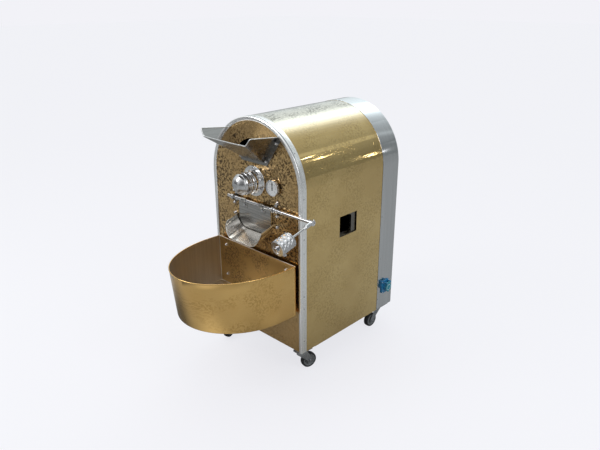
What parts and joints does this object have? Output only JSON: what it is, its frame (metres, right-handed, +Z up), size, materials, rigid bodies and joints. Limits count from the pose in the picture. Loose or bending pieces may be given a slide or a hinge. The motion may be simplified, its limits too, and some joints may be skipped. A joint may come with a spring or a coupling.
{
  "type": "chickpea roaster",
  "caption": "Arch-topped gold roaster on swivel casters with a turning drum, feed hopper, counterweighted discharge gate, D-shaped catch tray, dial thermometer and side port shutter.",
  "frame": {"origin": "on the floor under the middle of the whole machine's bounding box", "axes": "+Z up, -Y to the front with the hopper and tray, +X to the side with the lever and the power inlet"},
  "size_m": [0.713, 1.214, 1.2302],
  "materials": {
    "gold_etched": "etched gold sheet",
    "gold_mirror": "polished gold sheet with fine etching",
    "stainless": "bright stainless",
    "chrome": "polished",
    "mill_steel": "plain mill finish",
    "frame_paint": "satin grey",
    "wool": "mineral wool",
    "burner": "rough",
    "gas_brass": "plain",
    "motor": "painted castings",
    "chain": "oiled",
    "inlet_blue": "gloss",
    "dial_white": "matt white with black scale",
    "needle_black": "matt",
    "glass": "clear",
    "zinc": "zinc plated",
    "wheel_grey": "moulded",
    "tyre_rubber": "matt"
  },
  "bodies": {
    "chassis": {"base_frame": "frame_paint", "base_pan": "mill_steel", "bearing_cap": "chrome", "bearing_housing": "chrome", "bulkhead": "mill_steel", "burner_tubes": "burner", "casing_screws": "chrome", "caster_plates": "zinc", "catch_tray": "gold_etched", "discharge_spout": "stainless", "drive_chain": "chain", "feed_hopper": "stainless", "flue_spigot": "stainless", "front_bearing": "mill_steel", "front_panel": "gold_etched", "front_trim": "stainless", "front_wall": "mill_steel", "gas_manifold": "gas_brass", "gate_brackets": "stainless", "gearmotor": "motor", "heat_shield": "mill_steel", "inlet_body": "inlet_blue", "inner_liner": "mill_steel", "insulation": "wool", "motor_mount": "frame_paint", "panel_bolts": "chrome", "rear_band": "stainless", "rear_bearing": "frame_paint", "rear_panel": "stainless", "shutter_rails": "mill_steel", "side_wrap": "gold_mirror", "thermometer_case": "chrome", "thermometer_dial": "dial_white", "thermometer_glass": "glass", "tray_standoffs": "stainless"},
    "drum": {"drum_shell": "mill_steel", "drum_vanes": "mill_steel", "drum_shaft": "mill_steel", "drum_sprocket": "chain"},
    "motor_drive": {"motor_sprocket": "chain"},
    "gate": {"gate_shaft": "chrome", "gate_flap": "stainless", "gate_bolts": "chrome", "gate_arm": "chrome", "counterweight": "chrome"},
    "needle": {"thermometer_needle": "needle_black"},
    "shutter": {"port_shutter": "stainless"},
    "lid": {"inlet_lid": "inlet_blue"},
    "swivel_fr": {"caster_fork_fr": "zinc"},
    "wheel_fr": {"caster_wheel_fr": "wheel_grey", "caster_tyre_fr": "tyre_rubber"},
    "swivel_fl": {"caster_fork_fl": "zinc"},
    "wheel_fl": {"caster_wheel_fl": "wheel_grey", "caster_tyre_fl": "tyre_rubber"},
    "swivel_rr": {"caster_fork_rr": "zinc"},
    "wheel_rr": {"caster_wheel_rr": "wheel_grey", "caster_tyre_rr": "tyre_rubber"},
    "swivel_rl": {"caster_fork_rl": "zinc"},
    "wheel_rl": {"caster_wheel_rl": "wheel_grey", "caster_tyre_rl": "tyre_rubber"}
  },
  "joints": [
    {"name": "drum_spin", "type": "hinge", "parent": "chassis", "child": "drum", "pos_m": [-0.0535, 0.159, 0.931], "axis": [0, 1, 0], "continuous": true},
    {"name": "motor_spin", "type": "hinge", "parent": "chassis", "child": "motor_drive", "pos_m": [-0.0535, 0.459, 0.275], "axis": [0, 1, 0], "continuous": true},
    {"name": "gate_swing", "type": "hinge", "parent": "chassis", "child": "gate", "pos_m": [-0.0535, -0.157, 0.825], "axis": [-1, 0, 0], "range_deg": [0, 65]},
    {"name": "needle_turn", "type": "hinge", "parent": "chassis", "child": "needle", "pos_m": [0.0795, -0.158, 0.927], "axis": [0, 1, 0], "range_deg": [-135, 135], "stiffness_Nm_per_rad": 0.01},
    {"name": "shutter_slide", "type": "slide", "parent": "chassis", "child": "shutter", "axis": [0, 1, 0], "range_m": [-0.075, 0.046]},
    {"name": "lid_swing", "type": "hinge", "parent": "chassis", "child": "lid", "pos_m": [0.272, 0.509, 0.2765], "axis": [0, -1, 0], "range_deg": [0, 110], "stiffness_Nm_per_rad": 0.02, "springref_deg": -28.65},
    {"name": "swivel_fr", "type": "hinge", "parent": "chassis", "child": "swivel_fr", "pos_m": [0.1985, -0.109, 0.108], "axis": [0, 0, 1], "continuous": true},
    {"name": "roll_fr", "type": "hinge", "parent": "swivel_fr", "child": "wheel_fr", "pos_m": [0.21144, -0.0607, 0.04], "axis": [-0.9659, 0.2588, 0], "continuous": true},
    {"name": "swivel_fl", "type": "hinge", "parent": "chassis", "child": "swivel_fl", "pos_m": [-0.3055, -0.109, 0.108], "axis": [0, 0, 1], "continuous": true},
    {"name": "roll_fl", "type": "hinge", "parent": "swivel_fl", "child": "wheel_fl", "pos_m": [-0.29005, -0.15655, 0.04], "axis": [0.9511, 0.309, 0], "continuous": true},
    {"name": "swivel_rr", "type": "hinge", "parent": "chassis", "child": "swivel_rr", "pos_m": [0.1985, 0.509, 0.108], "axis": [0, 0, 1], "continuous": true},
    {"name": "roll_rr", "type": "hinge", "parent": "swivel_rr", "child": "wheel_rr", "pos_m": [0.19676, 0.45903, 0.04], "axis": [0.9994, -0.0349, 0], "continuous": true},
    {"name": "swivel_rl", "type": "hinge", "parent": "chassis", "child": "swivel_rl", "pos_m": [-0.3055, 0.509, 0.108], "axis": [0, 0, 1], "continuous": true},
    {"name": "roll_rl", "type": "hinge", "parent": "swivel_rl", "child": "wheel_rl", "pos_m": [-0.3226, 0.46202, 0.04], "axis": [0.9397, -0.342, 0], "continuous": true}
  ],
  "couplings": [
    {"joint": "motor_spin", "follows": "drum_spin", "ratio": 3.2}
  ]
}
